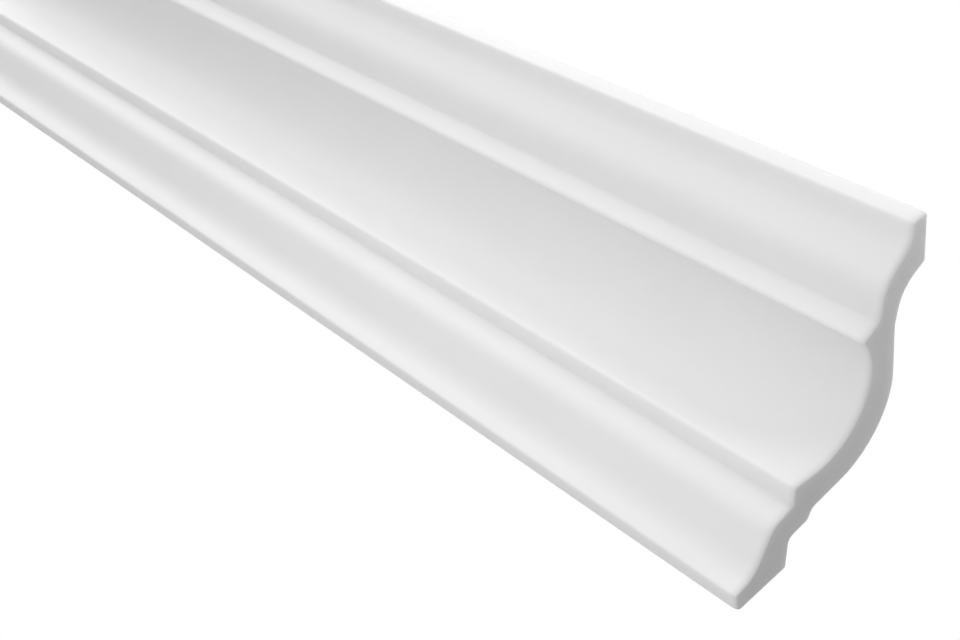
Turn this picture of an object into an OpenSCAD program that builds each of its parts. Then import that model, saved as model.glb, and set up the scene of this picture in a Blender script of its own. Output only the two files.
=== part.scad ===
// Crown moulding length: an extruded hard-foam coving for the corner between a wall and a ceiling.
// Frame: X runs along the moulding, +Y points at the wall and +Z points up at the ceiling.
// The origin lies in the middle of the wall seat, half way along the length. Millimetres.

/* [Overall] */
// Length between the two square cuts
length = 600; // [200:10:2400]
// How far the moulding stands out from the wall, measured along the ceiling
projection = 100; // [88:1:150]
// How far the moulding comes down the wall, measured from the ceiling
drop = 93; // [82:1:140]

/* [Seats] */
// Width of the flat band that is glued to the ceiling
ceiling_seat = 18.6; // [15:0.2:22]
// Height of the flat band that is glued to the wall
wall_seat = 24.2; // [20:0.2:28]

/* [Lips] */
// Height of the upright lip along the ceiling
ceiling_lip = 7.1; // [5:0.1:9]
// Thickness of the level lip along the wall
wall_lip = 8.5; // [7:0.1:11]
// Radius that softens the corners of both lips
lip_r = 1; // [0.4:0.1:2]
// Radius of the lower corner against the wall
wall_tip_r = 2.6; // [0.4:0.1:4]

/* [Upper ogee] */
// Depth of the upper ogee, from the ceiling lip in to the upper fillet
upper_ogee_w = 27.7; // [24:0.1:32]
// Height of the upper ogee
upper_ogee_h = 15.5; // [13:0.1:20]
// Height of its sloping middle
upper_slope_h = 13; // [9:0.1:14]
// Slope of its middle, measured from level
upper_slope = 53; // [42:1:62]
// Level lead-in between the ceiling lip and the slope
upper_lead = 6.5; // [4:0.1:8]
// Radius of its hollow half
upper_hollow_r = 7.8; // [3:0.1:10]
// Radius of its round half
upper_round_r = 12; // [4:0.1:15]

/* [Fillets] */
// Height of the upper fillet, between the upper ogee and the cove
upper_fillet_h = 8; // [5:0.1:10]
// How far the foot of the upper fillet lies further in than its top
upper_fillet_lean = 3.3; // [0:0.1:5]
// Depth of the lower fillet, between the cove and the lower ogee
lower_fillet_w = 7.2; // [4:0.1:9]
// How far the inner edge of the lower fillet lies below its outer edge
lower_fillet_lean = 1; // [0:0.1:3]
// Radius in the inner angle of both fillets
quirk_r = 0.9; // [0.2:0.1:1.5]

/* [Lower ogee] */
// Depth of the lower ogee, from the lower fillet in to the wall lip
lower_ogee_w = 17.4; // [15:0.1:21]
// Height of the lower ogee
lower_ogee_h = 28.5; // [25:0.1:32]
// Depth of its sloping middle
lower_slope_w = 13.8; // [10:0.1:14]
// Slope of its middle, measured from upright
lower_slope = 54; // [48:1:64]
// Nearly upright lead-in between the wall lip and the slope
lower_lead = 8.9; // [6:0.1:10]
// How far the lead-in leans out from the wall
lower_lead_lean = 1.8; // [0:0.1:2.5]
// Radius of its hollow half
lower_hollow_r = 11; // [3:0.1:14]
// Radius of its round half
lower_round_r = 8; // [4:0.1:12]

/* [Cove] */
// Length of the nearly upright flank at the foot of the cove
flank_length = 10.3; // [4:0.1:14]
// Lean of that flank towards the wall, in degrees from upright
flank_lean = 7.5; // [0:0.5:14]

/* [Back] */
// Thickness of foam above the cove
shell_top = 12.3; // [10:0.1:15]
// Thickness of foam behind the cove, measured level at its deepest point
shell_back = 14.8; // [12:0.1:17]
// Lean of the back towards the wall as it comes down, in degrees from upright
back_lean = 4.5; // [0:0.5:7]
// Radius of the rounded corner behind the cove
back_r = 29; // [16:0.5:30]
// How far the shoulder slopes in behind the ceiling seat
shoulder_run = 4.3; // [2:0.1:7]
// How far the shoulder slopes down behind the ceiling seat
shoulder_drop = 10.8; // [8:0.1:12]
// Depth of the haunch, from the shoulder to the level back above the cove
haunch_run = 11.6; // [8:0.1:15]
// Radius of the shoulder and of the haunch
shoulder_r = 12; // [3:0.5:13]
// Height of the foot, from the top of the wall seat up to the step
foot_h = 11.4; // [8:0.2:13]
// Fall of the foot's ledge towards the wall
foot_fall = 2.2; // [0:0.1:3]
// Depth of the step between the foot and the back of the cove
step_run = 3.4; // [2:0.1:5]
// Height of that step
step_rise = 2.3; // [1.5:0.1:5]
// Radius that softens the foot and the step
foot_r = 2.4; // [0.5:0.1:3.5]

/* [Hidden] */
foam_white = "#F2F2F0";
// How far the flat steps of an arc may stray from the true curve
arc_tolerance = 0.02;
// Two roundings that meet on one edge share this much of it
edge_share = 0.98;

// The outline runs on [distance out from the wall, distance down from the ceiling].
ceiling_tip = [projection, 0];
lip_foot = [projection, ceiling_lip];
upper_hollow = lip_foot - [upper_lead, 0];
upper_round = upper_hollow + [-upper_slope_h / tan(upper_slope), upper_slope_h];
upper_quirk = lip_foot + [-upper_ogee_w, upper_ogee_h];
nose = upper_quirk + [-upper_fillet_lean, upper_fillet_h];
wall_tip = [0, drop];
lip_end = [wall_lip, drop];
lower_hollow = lip_end + [lower_lead_lean, -lower_lead];
lower_round = lower_hollow + [lower_slope_w, -lower_slope_w / tan(lower_slope)];
lower_quirk = lip_end + [lower_ogee_w, -lower_ogee_h];
arris = lower_quirk + [lower_fillet_w, -lower_fillet_lean];

// The cove is one arc, which leaves the flank smoothly and ends in the nose.
flank_head = arris + flank_length * [-sin(flank_lean), -cos(flank_lean)];
flank_out = [cos(flank_lean), -sin(flank_lean)];
flank_to_nose = nose - flank_head;
cove_r = flank_to_nose * flank_to_nose / (2 * flank_to_nose * flank_out);
cove_centre = flank_head + cove_r * flank_out;

// The back is level above the cove and nearly upright behind it, each a shell's thickness away.
back_h = cove_centre[1] - cove_r - shell_top;
function back_p(h) = cove_centre[0] - cove_r - shell_back - (h - cove_centre[1]) * tan(back_lean);
back_corner = [back_p(back_h), back_h];
seat_back = [projection - ceiling_seat, 0];
shoulder = seat_back + [-shoulder_run, shoulder_drop];
haunch = [shoulder[0] - haunch_run, back_h];
seat_top = [0, drop - wall_seat];
ledge_h = seat_top[1] - foot_fall;
ledge = [back_p(ledge_h) - step_run, ledge_h];
step_foot_h = seat_top[1] - foot_h;
step_foot = [back_p(step_foot_h) - step_run, step_foot_h];
step_head_h = step_foot_h - step_rise;
step_head = [back_p(step_head_h), step_head_h];

// The corners of the outline, each with the radius that rounds it, from the foot of the cove
// along the lower front, up the back and down the upper front to the head of the cove
corners = [
    [flank_head, 0],
    [arris, 0],
    [lower_quirk, quirk_r],
    [lower_round, lower_round_r],
    [lower_hollow, lower_hollow_r],
    [lip_end, lip_r],
    [wall_tip, wall_tip_r],
    [seat_top, 0],
    [ledge, foot_r],
    [step_foot, foot_r],
    [step_head, foot_r],
    [back_corner, back_r],
    [haunch, shoulder_r],
    [shoulder, shoulder_r],
    [seat_back, 0],
    [ceiling_tip, lip_r],
    [lip_foot, lip_r],
    [upper_hollow, upper_hollow_r],
    [upper_round, upper_round_r],
    [upper_quirk, quirk_r],
    [nose, 0]
];

// Unit vector from one point to another
function towards(a, b) = (b - a) / norm(b - a);

// Half the angle that the outline turns through at corner i
function half_turn(i) =
    let (before = corners[i - 1][0], here = corners[i][0], after = corners[i + 1][0])
    acos(towards(before, here) * towards(here, after)) / 2;

// How far from corner i its rounding would start if nothing were in its way
function wanted_reach(i) = corners[i][1] > 0 ? corners[i][1] * tan(half_turn(i)) : 0;

// How much of the wanted reach there is room for on the edge between corners i and j
function room(i, j) =
    let (wanted = wanted_reach(i) + wanted_reach(j), edge = norm(corners[j][0] - corners[i][0]))
    wanted > edge_share * edge ? edge_share * edge / wanted : 1;

// A vector turned anticlockwise
function turned(v, angle) = [v[0] * cos(angle) - v[1] * sin(angle), v[0] * sin(angle) + v[1] * cos(angle)];

// The points of an arc about a centre from a to b, the short way round
function arc(centre, a, b) =
    let (
        from = a - centre,
        angle = atan2(cross(from, b - centre), from * (b - centre)),
        steps = ceil(abs(angle) / (2 * acos(1 - arc_tolerance / norm(from))))
    )
    [for (s = [0 : steps]) centre + turned(from, angle * s / steps)];

// The points that stand for corner i: itself, or the arc that rounds it
function rounded(i) =
    corners[i][1] == 0 ? [corners[i][0]] :
    let (
        here = corners[i][0],
        before = towards(here, corners[i - 1][0]),
        after = towards(here, corners[i + 1][0]),
        reach = wanted_reach(i) * min(room(i - 1, i), room(i, i + 1)),
        centre = here + towards([0, 0], before + after) * reach / sin(half_turn(i))
    )
    arc(centre, here + before * reach, here + after * reach);

// The section of the moulding, with X towards the wall and Y up from the middle of the wall seat
module section() {
    seat_middle = drop - wall_seat / 2;
    front_and_back = [for (i = [0 : len(corners) - 1]) each rounded(i)];
    outline = concat(front_and_back, arc(cove_centre, nose, flank_head));
    polygon([for (at = outline) [-at[0], seat_middle - at[1]]]);
}

module crown_moulding() {
    color(foam_white) rotate([90, 0, 90]) linear_extrude(length, center = true) section();
}

crown_moulding();
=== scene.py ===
"""Crown moulding length: the looks of a white hard-foam coving around its CAD frame.

The moulding is swept from the section of its CAD node by Geometry Nodes, with the soft arrises and
rounded saw cuts of extruded polystyrene foam, and hangs in a plain, bright studio.
"""

import math

import bmesh
import bpy
from mathutils import Matrix, Vector


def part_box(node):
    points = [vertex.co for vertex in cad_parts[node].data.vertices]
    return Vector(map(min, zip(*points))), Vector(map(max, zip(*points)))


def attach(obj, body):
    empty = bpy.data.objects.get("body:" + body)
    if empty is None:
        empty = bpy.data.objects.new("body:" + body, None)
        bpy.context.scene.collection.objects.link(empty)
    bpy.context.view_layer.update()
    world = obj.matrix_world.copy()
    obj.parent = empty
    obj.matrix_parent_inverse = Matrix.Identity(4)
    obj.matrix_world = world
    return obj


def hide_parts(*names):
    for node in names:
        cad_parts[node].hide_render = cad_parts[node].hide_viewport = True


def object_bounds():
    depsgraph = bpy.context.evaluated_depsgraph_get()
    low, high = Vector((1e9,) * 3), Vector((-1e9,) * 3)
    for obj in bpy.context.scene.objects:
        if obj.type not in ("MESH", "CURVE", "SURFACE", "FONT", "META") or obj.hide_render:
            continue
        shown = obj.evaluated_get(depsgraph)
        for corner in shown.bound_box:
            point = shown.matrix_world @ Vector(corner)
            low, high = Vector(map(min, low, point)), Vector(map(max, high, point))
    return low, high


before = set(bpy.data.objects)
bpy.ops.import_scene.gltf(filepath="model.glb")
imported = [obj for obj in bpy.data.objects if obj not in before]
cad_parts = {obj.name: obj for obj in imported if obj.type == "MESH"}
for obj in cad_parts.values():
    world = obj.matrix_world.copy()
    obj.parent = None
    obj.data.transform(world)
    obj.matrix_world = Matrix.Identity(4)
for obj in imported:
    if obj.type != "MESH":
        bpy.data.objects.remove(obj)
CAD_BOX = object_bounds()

bl_info = {
    "name": "Crown Moulding Length",
    "version": (1, 0, 0),
    "blender": (4, 5, 0),
    "location": "View3D > Sidebar > Moulding",
    "description": "Builds a white foam crown moulding from its section, and a plain studio round it",
    "category": "Object",
}

NODE = "crown_moulding"
PIECE = "foam_crown_moulding"
MM = 0.001
SAWN = "sawn"  # 1 on the sawn ends of the foam, 0 on its skin

WELD_GAP = 0.001 * MM  # the loose triangles of the CAD node meet within this
END_GAP = 0.01 * MM  # points this near the right end belong to its cut
SHARP_TURN = math.radians(30)  # a corner of the section that turns further is an arris
ARRIS_STEPS = 5  # points round each softened arris
CUT_STEPS = 5  # rings round each rounded saw cut
WAVES_PER_METRE = (9, 60, 60)  # waves of the skin, about 110 mm long and 17 mm wide
MERGE_GAP = 0.03 * MM  # points closer than this are one, so that no sliver face is left
SQUARE_TO_LENGTH = 0.999  # a face whose normal has this much of X in it is a sawn end

# Each studio light: its kind, its width, what it faces, and where it stands from there, in metres.
LIGHTS = {
    "key": ("AREA", 1.3, "middle", (-0.65, -0.8, 0.35)),
    "fill": ("POINT", 0.15, "right end", (0.2, -0.1, 0.25)),
    "low": ("AREA", 0.3, "right end", (-0.06, -0.3, -0.34)),
    "back": ("AREA", 0.6, "middle", (0.0, 1.0, 0.5)),
}
SENSOR_WIDTH = 36.0  # millimetres, as the camera has it
FLOOR_RADIUS = 40.0  # metres, so far that its edge nearly reaches the horizon
FLOOR_SEGMENTS = 96
HAZE_TOP = 0.04  # from this height up, on the unit sphere of directions, the backdrop is white


def linear(hex_colour):
    """An sRGB hex colour as the linear RGBA that shaders use."""
    channels = [int(hex_colour[i : i + 2], 16) / 255 for i in (1, 3, 5)]
    return [c / 12.92 if c <= 0.04045 else ((c + 0.055) / 1.055) ** 2.4 for c in channels] + [1.0]


# ---------------------------------------------------------------- settings


class FoamSettings(bpy.types.PropertyGroup):
    """Sizes and colours of the foam moulding."""

    arris_radius: bpy.props.FloatProperty(
        name="Arris Radius",
        description="How far the sharp corners of the section are softened",
        default=1.4 * MM,
        min=0.0,
        subtype="DISTANCE",
        unit="LENGTH",
    )
    cut_radius: bpy.props.FloatProperty(
        name="Cut Radius",
        description="Rounding of the edge where the saw left each end",
        default=0.75 * MM,
        min=0.0,
        subtype="DISTANCE",
        unit="LENGTH",
    )
    cut_reach: bpy.props.FloatProperty(
        name="Cut Reach",
        description="How far along the moulding that rounding begins before each end",
        default=2.4 * MM,
        min=0.0,
        subtype="DISTANCE",
        unit="LENGTH",
    )
    outline_step: bpy.props.FloatProperty(
        name="Outline Step",
        description="Longest step between two points of the section",
        default=1.5 * MM,
        min=0.2 * MM,
        subtype="DISTANCE",
        unit="LENGTH",
    )
    ring_step: bpy.props.FloatProperty(
        name="Ring Step",
        description="Distance between two rings along the moulding",
        default=6.0 * MM,
        min=1.0 * MM,
        subtype="DISTANCE",
        unit="LENGTH",
    )
    wave_depth: bpy.props.FloatProperty(
        name="Wave Depth",
        description="Depth of the faint waves that the extruder's die leaves along the skin",
        default=0.12 * MM,
        min=0.0,
        subtype="DISTANCE",
        unit="LENGTH",
    )
    skin_colour: bpy.props.FloatVectorProperty(
        name="Skin Colour",
        description="Colour of the smooth extruded skin",
        default=linear("#F2F2F2"),
        size=4,
        min=0.0,
        max=1.0,
        subtype="COLOR",
    )
    core_colour: bpy.props.FloatVectorProperty(
        name="Core Colour",
        description="Colour of the foam that the saw laid open at both ends",
        default=linear("#EEEEEE"),
        size=4,
        min=0.0,
        max=1.0,
        subtype="COLOR",
    )
    cell_size: bpy.props.FloatProperty(
        name="Cell Size",
        description="Width of the foam's cells where the saw cut them",
        default=0.4 * MM,
        min=0.05 * MM,
        subtype="DISTANCE",
        unit="LENGTH",
    )


class StudioSettings(bpy.types.PropertyGroup):
    """Camera, lights and floor of the plain studio."""

    azimuth: bpy.props.FloatProperty(
        name="Azimuth",
        description="Where the camera stands, turned from the front towards the right end",
        default=math.radians(44.87),
        subtype="ANGLE",
        unit="ROTATION",
    )
    elevation: bpy.props.FloatProperty(
        name="Elevation",
        description="How far the camera stands above the level of what it looks at",
        default=math.radians(-25.35),
        subtype="ANGLE",
        unit="ROTATION",
    )
    roll: bpy.props.FloatProperty(
        name="Roll",
        description="How far the camera is turned anticlockwise about its own axis",
        default=math.radians(54.52),
        subtype="ANGLE",
        unit="ROTATION",
    )
    distance: bpy.props.FloatProperty(
        name="Distance",
        description="Distance from the camera to the point that it looks at",
        default=0.5,
        subtype="DISTANCE",
        unit="LENGTH",
    )
    aim: bpy.props.FloatVectorProperty(
        name="Aim",
        description="Point that the camera looks at, from the right end's lowest point on the wall",
        default=(-128.7 * MM, -42.5 * MM, 15.6 * MM),
        size=3,
        subtype="TRANSLATION",
        unit="LENGTH",
    )
    lens: bpy.props.FloatProperty(
        name="Lens",
        description="Focal length in millimetres, on a sensor 36 mm wide",
        default=52.7,
    )
    key_power: bpy.props.FloatProperty(
        name="Key Power",
        description="Power of the large soft light in front of the moulding",
        default=10.1,
        unit="POWER",
    )
    fill_power: bpy.props.FloatProperty(
        name="Fill Power",
        description="Power of the small round light above the right end",
        default=1.03,
        unit="POWER",
    )
    low_power: bpy.props.FloatProperty(
        name="Low Power",
        description="Power of the soft light in front of the right end and below it",
        default=0.52,
        unit="POWER",
    )
    back_power: bpy.props.FloatProperty(
        name="Back Power",
        description="Power of the soft light behind the moulding",
        default=2.2,
        unit="POWER",
    )
    ambient: bpy.props.FloatProperty(
        name="Ambient",
        description="Strength of the soft light from all round",
        default=0.35,
        min=0.0,
    )
    lean: bpy.props.FloatProperty(
        name="Lean",
        description="How much stronger the soft light is from the left than from the front",
        default=0.46,
        min=0.0,
    )
    rise: bpy.props.FloatProperty(
        name="Rise",
        description="How much stronger the soft light is from above than from the level",
        default=0.32,
        min=0.0,
    )
    horizon: bpy.props.FloatProperty(
        name="Horizon",
        description="How bright the white backdrop is where it meets the floor",
        default=0.43,
        min=0.0,
    )
    floor_colour: bpy.props.FloatVectorProperty(
        name="Floor Colour",
        description="Colour of the pale floor",
        default=linear("#E2E2E2"),
        size=4,
        min=0.0,
        max=1.0,
        subtype="COLOR",
    )
    floor_drop: bpy.props.FloatProperty(
        name="Floor Drop",
        description="How far the floor lies below the moulding, which hangs in the air",
        default=0.9,
        subtype="DISTANCE",
        unit="LENGTH",
    )


# ---------------------------------------------------------------- nodes


def add(tree, kind, links=None, inputs=None, **settings):
    """Adds a node to a tree with its settings, plain input values and links from other sockets."""
    node = tree.nodes.new(kind)
    for name, value in settings.items():
        setattr(node, name, value)
    for name, value in (inputs or {}).items():
        node.inputs[name].default_value = value
    for name, socket in (links or {}).items():
        tree.links.new(socket, node.inputs[name])
    return node


# ---------------------------------------------------------------- section and sweep


def section_outline(node):
    """The (Y, Z) points of the CAD node's right end, anticlockwise as seen from its right."""
    bm = bmesh.new()
    bm.from_mesh(node.data)
    bmesh.ops.remove_doubles(bm, verts=bm.verts, dist=WELD_GAP)
    right = max(v.co.x for v in bm.verts)
    cut = {f for f in bm.faces if all(right - v.co.x < END_GAP for v in f.verts)}
    rim = {e for f in cut for e in f.edges if sum(g in cut for g in e.link_faces) == 1}
    vert = min((v for e in rim for v in e.verts), key=lambda v: (v.co.z, v.co.y))
    outline = []
    while rim:
        edge = next((e for e in vert.link_edges if e in rim), None)
        if edge is None:
            raise RuntimeError("the right end of the CAD node has no single closed outline")
        rim.remove(edge)
        outline.append((vert.co.y, vert.co.z))
        vert = edge.other_vert(vert)
    bm.free()
    area = sum(
        a[0] * b[1] - b[0] * a[1] for a, b in zip(outline, outline[1:] + outline[:1])
    )
    return outline if area > 0 else outline[::-1]


def outline_mesh(name, outline):
    """A closed chain of edges, laid out so that a sweep along X stands it in its own Y and Z."""
    count = len(outline)
    mesh = bpy.data.meshes.new(name)
    mesh.from_pydata(
        [(-y, -z, 0) for y, z in outline], [(i, (i + 1) % count) for i in range(count)], []
    )
    return mesh


def soften_arrises(tree, curve, radius, step):
    """Rounds the sharp corners of a section curve, then divides its long straights."""
    index = add(tree, "GeometryNodeInputIndex").outputs[0]
    here = add(tree, "GeometryNodeInputPosition").outputs[0]
    sides = []
    for way in (-1, 1):
        beside = add(
            tree, "GeometryNodeOffsetPointInCurve", {"Point Index": index}, {"Offset": way}
        )
        there = add(
            tree,
            "GeometryNodeFieldAtIndex",
            {"Value": here, "Index": beside.outputs["Point Index"]},
            data_type="FLOAT_VECTOR",
        )
        sides.append(
            add(
                tree,
                "ShaderNodeVectorMath",
                {0: there.outputs[0], 1: here},
                operation="SUBTRACT",
            ).outputs[0]
        )
    ways = [
        add(tree, "ShaderNodeVectorMath", {0: side}, operation="NORMALIZE").outputs[0]
        for side in sides
    ]
    back_dot_on = add(
        tree, "ShaderNodeVectorMath", {0: ways[0], 1: ways[1]}, operation="DOT_PRODUCT"
    )
    is_arris = add(
        tree,
        "ShaderNodeMath",
        {0: back_dot_on.outputs["Value"]},
        {1: -math.cos(SHARP_TURN)},
        operation="GREATER_THAN",
    )
    rounding = add(
        tree, "ShaderNodeMath", {0: is_arris.outputs[0], 1: radius}, operation="MULTIPLY"
    )
    softened = add(
        tree,
        "GeometryNodeFilletCurve",
        {"Curve": curve, "Radius": rounding.outputs[0]},
        {"Count": ARRIS_STEPS, "Limit Radius": True},
        mode="POLY",
    )
    reach = add(tree, "ShaderNodeVectorMath", {0: sides[1]}, operation="LENGTH")
    steps = add(
        tree, "ShaderNodeMath", {0: reach.outputs["Value"], 1: step}, operation="DIVIDE"
    )
    cuts = add(tree, "ShaderNodeMath", {0: steps.outputs[0]}, operation="FLOOR")
    return add(
        tree,
        "GeometryNodeSubdivideCurve",
        {"Curve": softened.outputs[0], "Cuts": cuts.outputs[0]},
    ).outputs[0]


def sweep_path(tree, length, radius, reach, step):
    """A path along X whose points crowd together at both cuts.

    With it come how far the ring at each point is drawn in, and a mark that is 1 at a cut and 0
    away from it.
    """
    spans = add(tree, "ShaderNodeMath", {0: length, 1: step}, operation="DIVIDE")
    rings = add(
        tree, "ShaderNodeMath", {0: spans.outputs[0]}, {1: 2 * CUT_STEPS}, operation="ADD"
    )
    half = add(tree, "ShaderNodeMath", {0: length}, {1: 0.5}, operation="MULTIPLY").outputs[0]
    inner = add(tree, "ShaderNodeMath", {0: half, 1: reach}, operation="SUBTRACT").outputs[0]
    outer = add(tree, "ShaderNodeMath", {0: inner}, {1: -1}, operation="MULTIPLY").outputs[0]
    line = add(
        tree, "GeometryNodeCurvePrimitiveLine", inputs={"Start": (-1, 0, 0), "End": (1, 0, 0)}
    )
    dense = add(
        tree,
        "GeometryNodeResampleCurve",
        {"Curve": line.outputs[0], "Count": rings.outputs[0]},
        mode="COUNT",
    )
    index = add(tree, "GeometryNodeInputIndex").outputs[0]
    total = add(
        tree,
        "GeometryNodeAttributeDomainSize",
        {"Geometry": dense.outputs[0]},
        component="CURVE",
    ).outputs["Point Count"]
    last = add(tree, "ShaderNodeMath", {0: total}, {1: 1}, operation="SUBTRACT").outputs[0]
    from_last = add(tree, "ShaderNodeMath", {0: last, 1: index}, operation="SUBTRACT").outputs[0]
    inmost = add(
        tree, "ShaderNodeMath", {0: last}, {1: CUT_STEPS}, operation="SUBTRACT"
    ).outputs[0]
    nearest = add(tree, "ShaderNodeMath", {0: index, 1: from_last}, operation="MINIMUM").outputs[0]
    angle = add(
        tree,
        "ShaderNodeMapRange",
        {"Value": nearest},
        {"From Max": CUT_STEPS, "To Max": math.pi / 2},
    ).outputs[0]
    plain = add(
        tree,
        "ShaderNodeMapRange",
        {"Value": index, "From Max": inmost, "To Min": outer, "To Max": inner},
        {"From Min": CUT_STEPS},
    ).outputs[0]
    side = add(tree, "ShaderNodeMath", {0: plain}, operation="SIGN").outputs[0]
    cosine = add(tree, "ShaderNodeMath", {0: angle}, operation="COSINE").outputs[0]
    sine = add(tree, "ShaderNodeMath", {0: angle}, operation="SINE").outputs[0]
    bulge = add(tree, "ShaderNodeMath", {0: cosine, 1: reach}, operation="MULTIPLY").outputs[0]
    station = add(
        tree, "ShaderNodeMath", {0: bulge, 1: side, 2: plain}, operation="MULTIPLY_ADD"
    ).outputs[0]
    place = add(tree, "ShaderNodeCombineXYZ", {"X": station}).outputs[0]
    path = add(
        tree, "GeometryNodeSetPosition", {"Geometry": dense.outputs[0], "Position": place}
    )
    level = add(tree, "GeometryNodeSetCurveNormal", {"Curve": path.outputs[0]}, mode="Z_UP")
    short = add(tree, "ShaderNodeMath", {1: sine}, {0: 1}, operation="SUBTRACT").outputs[0]
    inset = add(tree, "ShaderNodeMath", {0: short, 1: radius}, operation="MULTIPLY").outputs[0]
    return level.outputs[0], inset, cosine


def sweep_tree(name):
    """Sweeps a closed chain of edges along X into a bar with soft arrises and rounded saw cuts."""
    tree = bpy.data.node_groups.new(name, "GeometryNodeTree")
    face = tree.interface
    face.new_socket("Section", in_out="INPUT", socket_type="NodeSocketGeometry")
    for label in (
        "Length",
        "Arris Radius",
        "Cut Radius",
        "Cut Reach",
        "Outline Step",
        "Ring Step",
        "Wave Depth",
    ):
        socket = face.new_socket(label, in_out="INPUT", socket_type="NodeSocketFloat")
        socket.subtype = "DISTANCE"
    face.new_socket("Material", in_out="INPUT", socket_type="NodeSocketMaterial")
    face.new_socket("Bar", in_out="OUTPUT", socket_type="NodeSocketGeometry")
    given = add(tree, "NodeGroupInput").outputs

    section = add(tree, "GeometryNodeMeshToCurve", {"Mesh": given["Section"]}).outputs[0]
    section = soften_arrises(tree, section, given["Arris Radius"], given["Outline Step"])
    path, inset, cut = sweep_path(
        tree, given["Length"], given["Cut Radius"], given["Cut Reach"], given["Ring Step"]
    )

    kept = add(tree, "GeometryNodeCaptureAttribute")
    for label, field in (("Inset", inset), ("Cut", cut)):
        kept.capture_items.new("FLOAT", label)
        tree.links.new(field, kept.inputs[label])
    tree.links.new(path, kept.inputs["Geometry"])
    bar = add(
        tree,
        "GeometryNodeCurveToMesh",
        {"Curve": kept.outputs["Geometry"], "Profile Curve": section},
        {"Fill Caps": True},
    )

    # the skin's own direction, square to the length, along which the cuts and waves draw it in
    normal = add(tree, "GeometryNodeInputNormal").outputs["Normal"]
    across = add(
        tree, "ShaderNodeVectorMath", {0: normal}, {1: (0, 1, 1)}, operation="MULTIPLY"
    ).outputs[0]
    outward = add(tree, "ShaderNodeVectorMath", {0: across}, operation="NORMALIZE").outputs[0]
    here = add(tree, "GeometryNodeInputPosition").outputs[0]
    stretched = add(
        tree, "ShaderNodeVectorMath", {0: here}, {1: WAVES_PER_METRE}, operation="MULTIPLY"
    ).outputs[0]
    wave = add(
        tree,
        "ShaderNodeTexNoise",
        {"Vector": stretched},
        {"Scale": 1.0, "Detail": 1.0},
    ).outputs[0]
    depth = add(
        tree,
        "ShaderNodeMath",
        {0: wave, 1: given["Wave Depth"], 2: kept.outputs["Inset"]},
        operation="MULTIPLY_ADD",
    ).outputs[0]
    inward = add(tree, "ShaderNodeMath", {0: depth}, {1: -1}, operation="MULTIPLY").outputs[0]
    offset = add(
        tree, "ShaderNodeVectorMath", {0: outward, "Scale": inward}, operation="SCALE"
    ).outputs[0]
    shaped = add(
        tree, "GeometryNodeSetPosition", {"Geometry": bar.outputs[0], "Offset": offset}
    )
    clean = add(
        tree,
        "GeometryNodeMergeByDistance",
        {"Geometry": shaped.outputs[0]},
        {"Distance": MERGE_GAP},
    )
    marked = add(
        tree,
        "GeometryNodeStoreNamedAttribute",
        {"Geometry": clean.outputs[0], "Value": kept.outputs["Cut"]},
        {"Name": SAWN},
        data_type="FLOAT",
        domain="POINT",
    )
    true_normal = add(tree, "GeometryNodeInputNormal").outputs["True Normal"]
    apart = add(tree, "ShaderNodeSeparateXYZ", {0: true_normal}).outputs["X"]
    steep = add(tree, "ShaderNodeMath", {0: apart}, operation="ABSOLUTE").outputs[0]
    is_skin = add(
        tree, "ShaderNodeMath", {0: steep}, {1: SQUARE_TO_LENGTH}, operation="LESS_THAN"
    ).outputs[0]
    smooth = add(
        tree,
        "GeometryNodeSetShadeSmooth",
        {"Geometry": marked.outputs[0], "Shade Smooth": is_skin},
        domain="FACE",
    )
    real = add(tree, "GeometryNodeRealizeInstances", {"Geometry": smooth.outputs[0]})
    finished = add(
        tree,
        "GeometryNodeSetMaterial",
        {"Geometry": real.outputs[0], "Material": given["Material"]},
    )
    add(tree, "NodeGroupOutput", {"Bar": finished.outputs[0]})
    return tree


def made_plain(source, name):
    """A new object with the plain mesh that a modified object comes out as."""
    graph = bpy.context.evaluated_depsgraph_get()
    mesh = bpy.data.meshes.new_from_object(source.evaluated_get(graph))
    mesh.name = name
    piece = bpy.data.objects.new(name, mesh)
    bpy.context.scene.collection.objects.link(piece)
    old_mesh = source.data
    bpy.data.objects.remove(source)
    bpy.data.meshes.remove(old_mesh)
    return piece


# ---------------------------------------------------------------- materials


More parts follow.
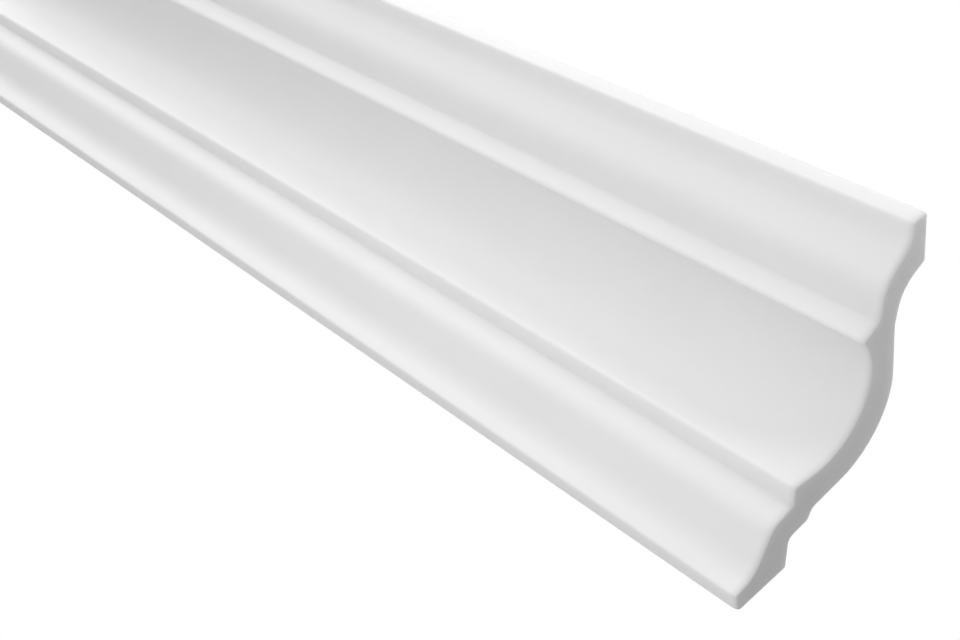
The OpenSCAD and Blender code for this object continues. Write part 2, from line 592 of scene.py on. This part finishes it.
def extruded_polystyrene(settings):
    """White extruded polystyrene foam.

    Its skin left a smooth die: the eye gets an even satin white, with faint streaks along the length
    and soft edges, because light wanders some millimetres into the foam. The saw leaves the ends
    matt and a touch greyer, with the fine cells of the core laid open, and painted shade darkens
    the deeper parts of those cells.
    """
    material = bpy.data.materials.new("extruded_polystyrene_foam")
    material.use_nodes = True
    tree = material.node_tree
    tree.nodes.clear()
    place = add(tree, "ShaderNodeTexCoord").outputs["Object"]
    sawn = add(tree, "ShaderNodeAttribute", attribute_name=SAWN).outputs["Fac"]

    # die streaks: about 2 mm apart across the skin, and 150 times as long
    streak_gap = 2 * MM
    streak_stretch = 150
    along = add(
        tree, "ShaderNodeMapping", {"Vector": place}, {"Scale": (1 / streak_stretch, 1, 1)}
    )
    streaks = add(
        tree,
        "ShaderNodeTexNoise",
        {"Vector": along.outputs[0]},
        {"Scale": 1 / streak_gap, "Detail": 2.0, "Roughness": 0.6},
    ).outputs["Fac"]
    # clouding of the skin
    cloud_width = 40 * MM
    clouds = add(
        tree,
        "ShaderNodeTexNoise",
        {"Vector": place},
        {"Scale": 1 / cloud_width, "Detail": 3.0},
    ).outputs["Fac"]
    # closed cells, cut open at the sawn ends; real ones are 0.1 to 0.4 mm wide, and the coarsest
    # are drawn, because finer ones don't show
    cells = add(
        tree,
        "ShaderNodeTexVoronoi",
        {"Vector": place},
        {"Scale": 1 / settings.cell_size},
        feature="F1",
    ).outputs["Distance"]

    # sockets 6 and 7 are the mix node's two colours, and its socket 2 gives the mixed one
    tone = add(
        tree,
        "ShaderNodeMix",
        {"Factor": sawn},
        {6: settings.skin_colour, 7: settings.core_colour},
        data_type="RGBA",
    )
    shade = add(
        tree,
        "ShaderNodeMapRange",
        {"Value": clouds},
        {"From Min": 0.3, "From Max": 0.7, "To Min": 0.985, "To Max": 1.0},
    ).outputs[0]
    cell_depth = add(
        tree,
        "ShaderNodeMapRange",
        {"Value": cells, "To Max": sawn},
        {"From Min": 0.2, "From Max": 0.9, "To Min": 0.0},
    ).outputs[0]
    # the colour of the deeper parts of the cut cells is darkened by this much: painted shade in the
    # cell pits, on top of their bump
    pit_shade_painted = 0.05
    clouding_and_painted_pit_shade = add(
        tree,
        "ShaderNodeMath",
        {0: cell_depth, 2: shade},
        {1: -pit_shade_painted},
        operation="MULTIPLY_ADD",
    ).outputs[0]
    # the colour is the skin or core tone, times the random clouding, less the painted shade in the
    # cell pits
    colour = add(
        tree, "ShaderNodeVectorMath", {0: tone.outputs[2], "Scale": clouding_and_painted_pit_shade}, operation="SCALE"
    ).outputs[0]

    rough = add(
        tree,
        "ShaderNodeMapRange",
        {"Value": sawn},
        {"To Min": 0.5, "To Max": 0.85},
    ).outputs[0]
    streak_roughness = 0.06
    rough_now = add(
        tree,
        "ShaderNodeMath",
        {0: streaks, 2: rough},
        {1: streak_roughness},
        operation="MULTIPLY_ADD",
    ).outputs[0]

    skin_relief = add(
        tree,
        "ShaderNodeBump",
        {"Height": streaks},
        {"Strength": 0.25, "Distance": 0.03 * MM},
    )
    relief = add(
        tree,
        "ShaderNodeBump",
        {"Height": cell_depth, "Normal": skin_relief.outputs[0]},
        {"Strength": 0.35, "Distance": -0.08 * MM},
    )
    foam = add(
        tree,
        "ShaderNodeBsdfPrincipled",
        {"Base Color": colour, "Roughness": rough_now, "Normal": relief.outputs[0]},
        {
            "IOR": 1.45,
            "Specular IOR Level": 0.4,
            "Subsurface Weight": 0.7,
            "Subsurface Radius": (1.0, 1.0, 1.0),
            "Subsurface Scale": 4.0 * MM,
        },
    )
    add(tree, "ShaderNodeOutputMaterial", {"Surface": foam.outputs[0]})
    return material


def painted_floor(colour):
    """Matt pale studio floor, faintly mottled as rolled paint is."""
    material = bpy.data.materials.new("matt_floor_paint")
    material.use_nodes = True
    tree = material.node_tree
    tree.nodes.clear()
    place = add(tree, "ShaderNodeTexCoord").outputs["Object"]
    mottle_width = 1 / 3  # metres
    mottle = add(
        tree, "ShaderNodeTexNoise", {"Vector": place}, {"Scale": 1 / mottle_width, "Detail": 2.0}
    ).outputs["Fac"]
    shade = add(
        tree, "ShaderNodeMapRange", {"Value": mottle}, {"To Min": 0.97, "To Max": 1.0}
    ).outputs[0]
    paint = add(
        tree, "ShaderNodeVectorMath", {"Scale": shade}, {0: colour[:3]}, operation="SCALE"
    ).outputs[0]
    surface = add(
        tree, "ShaderNodeBsdfPrincipled", {"Base Color": paint}, {"Roughness": 0.9}
    )
    add(tree, "ShaderNodeOutputMaterial", {"Surface": surface.outputs[0]})
    return material


# ---------------------------------------------------------------- operators


class OBJECT_OT_build_foam_moulding(bpy.types.Operator):
    """Sweep the CAD node's section into the foam moulding"""

    bl_idname = "object.build_foam_moulding"
    bl_label = "Build Foam Moulding"

    def execute(self, context):
        """Builds the moulding and hides the CAD node that it stands for."""
        settings = context.scene.foam_settings
        low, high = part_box(NODE)
        section = bpy.data.objects.new(
            "section", outline_mesh("section", section_outline(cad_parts[NODE]))
        )
        context.scene.collection.objects.link(section)
        tree = sweep_tree("moulding_sweep")
        sweep = section.modifiers.new("sweep", "NODES")
        sweep.node_group = tree
        given = {
            "Length": high[0] - low[0],
            "Arris Radius": settings.arris_radius,
            "Cut Radius": settings.cut_radius,
            "Cut Reach": settings.cut_reach,
            "Outline Step": settings.outline_step,
            "Ring Step": settings.ring_step,
            "Wave Depth": settings.wave_depth,
            "Material": extruded_polystyrene(settings),
        }
        for socket in tree.interface.items_tree:
            if socket.name in given:
                sweep[socket.identifier] = given[socket.name]
        piece = made_plain(section, PIECE)
        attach(piece, "root")
        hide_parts(NODE)
        return {"FINISHED"}


class OBJECT_OT_build_moulding_studio(bpy.types.Operator):
    """Set up the camera, soft light and pale floor"""

    bl_idname = "object.build_moulding_studio"
    bl_label = "Build Studio"

    def execute(self, context):
        """Builds the studio round the CAD box."""
        settings = context.scene.studio_settings
        low, high = CAD_BOX
        aim = Vector((high.x, high.y, low.z)) + Vector(settings.aim)
        self.add_camera(context.scene, settings, aim)
        middle = (low + high) / 2
        targets = {"middle": middle, "right end": Vector((high.x, middle.y, middle.z))}
        powers = {
            "key": settings.key_power,
            "fill": settings.fill_power,
            "low": settings.low_power,
            "back": settings.back_power,
        }
        for name, (kind, size, faced, offset) in LIGHTS.items():
            target = targets[faced]
            place = target + Vector(offset)
            self.add_light(context.scene, name, kind, powers[name], size, place, target)
        self.add_floor(context.scene, settings, low.z)
        context.scene.world = self.white_world(settings)
        context.scene.view_settings.view_transform = "Standard"
        return {"FINISHED"}

    @staticmethod
    def add_camera(scene, settings, aim):
        """A camera at a given distance from its aim, turned about its own axis by the roll."""
        back = Vector(
            (
                math.sin(settings.azimuth) * math.cos(settings.elevation),
                -math.cos(settings.azimuth) * math.cos(settings.elevation),
                math.sin(settings.elevation),
            )
        )
        data = bpy.data.cameras.new("camera")
        data.lens = settings.lens
        data.sensor_width = SENSOR_WIDTH
        camera = bpy.data.objects.new("camera", data)
        level = (-back).to_track_quat("-Z", "Y").to_matrix().to_4x4()
        camera.matrix_world = (
            Matrix.Translation(aim + back * settings.distance)
            @ level
            @ Matrix.Rotation(settings.roll, 4, "Z")
        )
        scene.collection.objects.link(camera)
        scene.camera = camera

    @staticmethod
    def add_light(scene, name, kind, power, size, place, target):
        """A soft light of a given kind and size that faces a target and isn't seen itself."""
        data = bpy.data.lights.new(name, kind)
        if kind == "AREA":
            data.size = size
        else:
            data.shadow_soft_size = size / 2
        data.energy = power
        light = bpy.data.objects.new(name, data)
        light.location = place
        light.visible_camera = False
        light.rotation_mode = "QUATERNION"
        light.rotation_quaternion = (target - place).to_track_quat("-Z", "Y")
        scene.collection.objects.link(light)

    @staticmethod
    def add_floor(scene, settings, lowest):
        """A round floor, well below the moulding."""
        bm = bmesh.new()
        bmesh.ops.create_circle(bm, cap_ends=True, segments=FLOOR_SEGMENTS, radius=FLOOR_RADIUS)
        mesh = bpy.data.meshes.new("floor")
        bm.to_mesh(mesh)
        bm.free()
        mesh.materials.append(painted_floor(settings.floor_colour))
        floor = bpy.data.objects.new("floor", mesh)
        floor.location.z = lowest - settings.floor_drop
        scene.collection.objects.link(floor)

    @staticmethod
    def white_world(settings):
        """A soft world, brighter from the left than the right, that stands behind as plain white."""
        world = bpy.data.worlds.new("studio")
        world.use_nodes = True
        tree = world.node_tree
        tree.nodes.clear()
        # the camera sees the plain backdrop, and all else is lit by the soft light that leans
        seen = add(tree, "ShaderNodeLightPath").outputs["Is Camera Ray"]
        way = add(tree, "ShaderNodeTexCoord").outputs["Generated"]
        tilt = add(
            tree,
            "ShaderNodeVectorMath",
            {0: way},
            {1: (-settings.lean, 0, settings.rise)},
            operation="DOT_PRODUCT",
        ).outputs["Value"]
        total = add(
            tree, "ShaderNodeMath", {0: tilt}, {1: settings.ambient}, operation="ADD"
        ).outputs[0]
        strength = add(
            tree, "ShaderNodeMath", {0: total}, {1: 0.0}, operation="MAXIMUM"
        ).outputs[0]
        height = add(tree, "ShaderNodeSeparateXYZ", {"Vector": way}).outputs["Z"]
        backdrop = add(
            tree,
            "ShaderNodeMapRange",
            {"Value": height},
            {"From Max": HAZE_TOP, "To Min": settings.horizon, "To Max": 1.0},
        ).outputs[0]
        shown = add(
            tree, "ShaderNodeMapRange", {"Value": seen, "To Min": strength, "To Max": backdrop}
        ).outputs[0]
        light = add(
            tree, "ShaderNodeBackground", {"Strength": shown}, {"Color": linear("#FFFFFF")}
        )
        add(tree, "ShaderNodeOutputWorld", {"Surface": light.outputs[0]})
        return world


class VIEW3D_PT_foam_moulding(bpy.types.Panel):
    """The moulding's and the studio's operators and settings"""

    bl_label = "Foam Moulding"
    bl_idname = "VIEW3D_PT_foam_moulding"
    bl_space_type = "VIEW_3D"
    bl_region_type = "UI"
    bl_category = "Moulding"

    def draw(self, context):
        """Lists each operator above its own settings."""
        for operator, settings in (
            (OBJECT_OT_build_foam_moulding, context.scene.foam_settings),
            (OBJECT_OT_build_moulding_studio, context.scene.studio_settings),
        ):
            box = self.layout.box()
            box.operator(operator.bl_idname)
            for name in settings.bl_rna.properties.keys():
                if name not in ("rna_type", "name"):
                    box.prop(settings, name)


CLASSES = (
    FoamSettings,
    StudioSettings,
    OBJECT_OT_build_foam_moulding,
    OBJECT_OT_build_moulding_studio,
    VIEW3D_PT_foam_moulding,
)


def register():
    """Registers the classes and hangs the settings on the scene."""
    for cls in CLASSES:
        bpy.utils.register_class(cls)
    bpy.types.Scene.foam_settings = bpy.props.PointerProperty(type=FoamSettings)
    bpy.types.Scene.studio_settings = bpy.props.PointerProperty(type=StudioSettings)


def unregister():
    """Takes the settings and the classes away again."""
    del bpy.types.Scene.studio_settings
    del bpy.types.Scene.foam_settings
    for cls in reversed(CLASSES):
        bpy.utils.unregister_class(cls)


def main():
    register()
    bpy.ops.object.build_foam_moulding()
    bpy.ops.object.build_moulding_studio()


if __name__ == "__main__":
    main()
